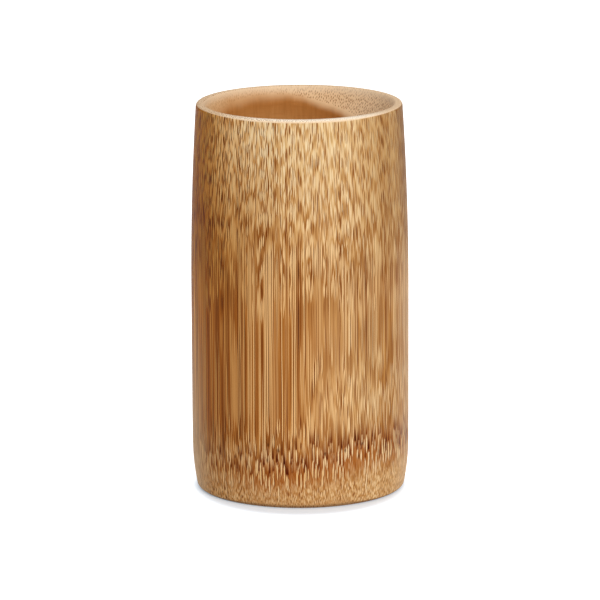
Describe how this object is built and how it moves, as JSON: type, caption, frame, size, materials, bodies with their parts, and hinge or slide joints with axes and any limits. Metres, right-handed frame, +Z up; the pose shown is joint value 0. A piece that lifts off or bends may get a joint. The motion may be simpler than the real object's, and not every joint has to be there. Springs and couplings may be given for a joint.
{
  "type": "bamboo cup",
  "caption": "Straight drinking cup turned from a bamboo culm, closed by its natural node, with a thin bevelled rim, an off-centre, slightly oval hollow lined with pith skin, and a ring foot.",
  "frame": {"origin": "on the table plane under the turning axis, at the centre of the ring foot", "axes": "+Z up along the turning axis, from foot to rim; -Y towards the pictured side"},
  "size_m": [0.067, 0.067, 0.12],
  "materials": {
    "turned_bamboo": "turned and sanded bamboo under a satin clear varnish, with brown fibre flecks and a darker node band",
    "node_wood": "grown cross wall of the culm, pale brown and dull, under the same varnish",
    "pith_skin": "natural pith skin of the hollow, orange brown with faint upright streaks"
  },
  "bodies": {
    "root": {"culm_wall": "turned_bamboo", "node_diaphragm": "node_wood", "inner_skin": "pith_skin", "foot_skin": "pith_skin"}
  },
  "joints": []
}
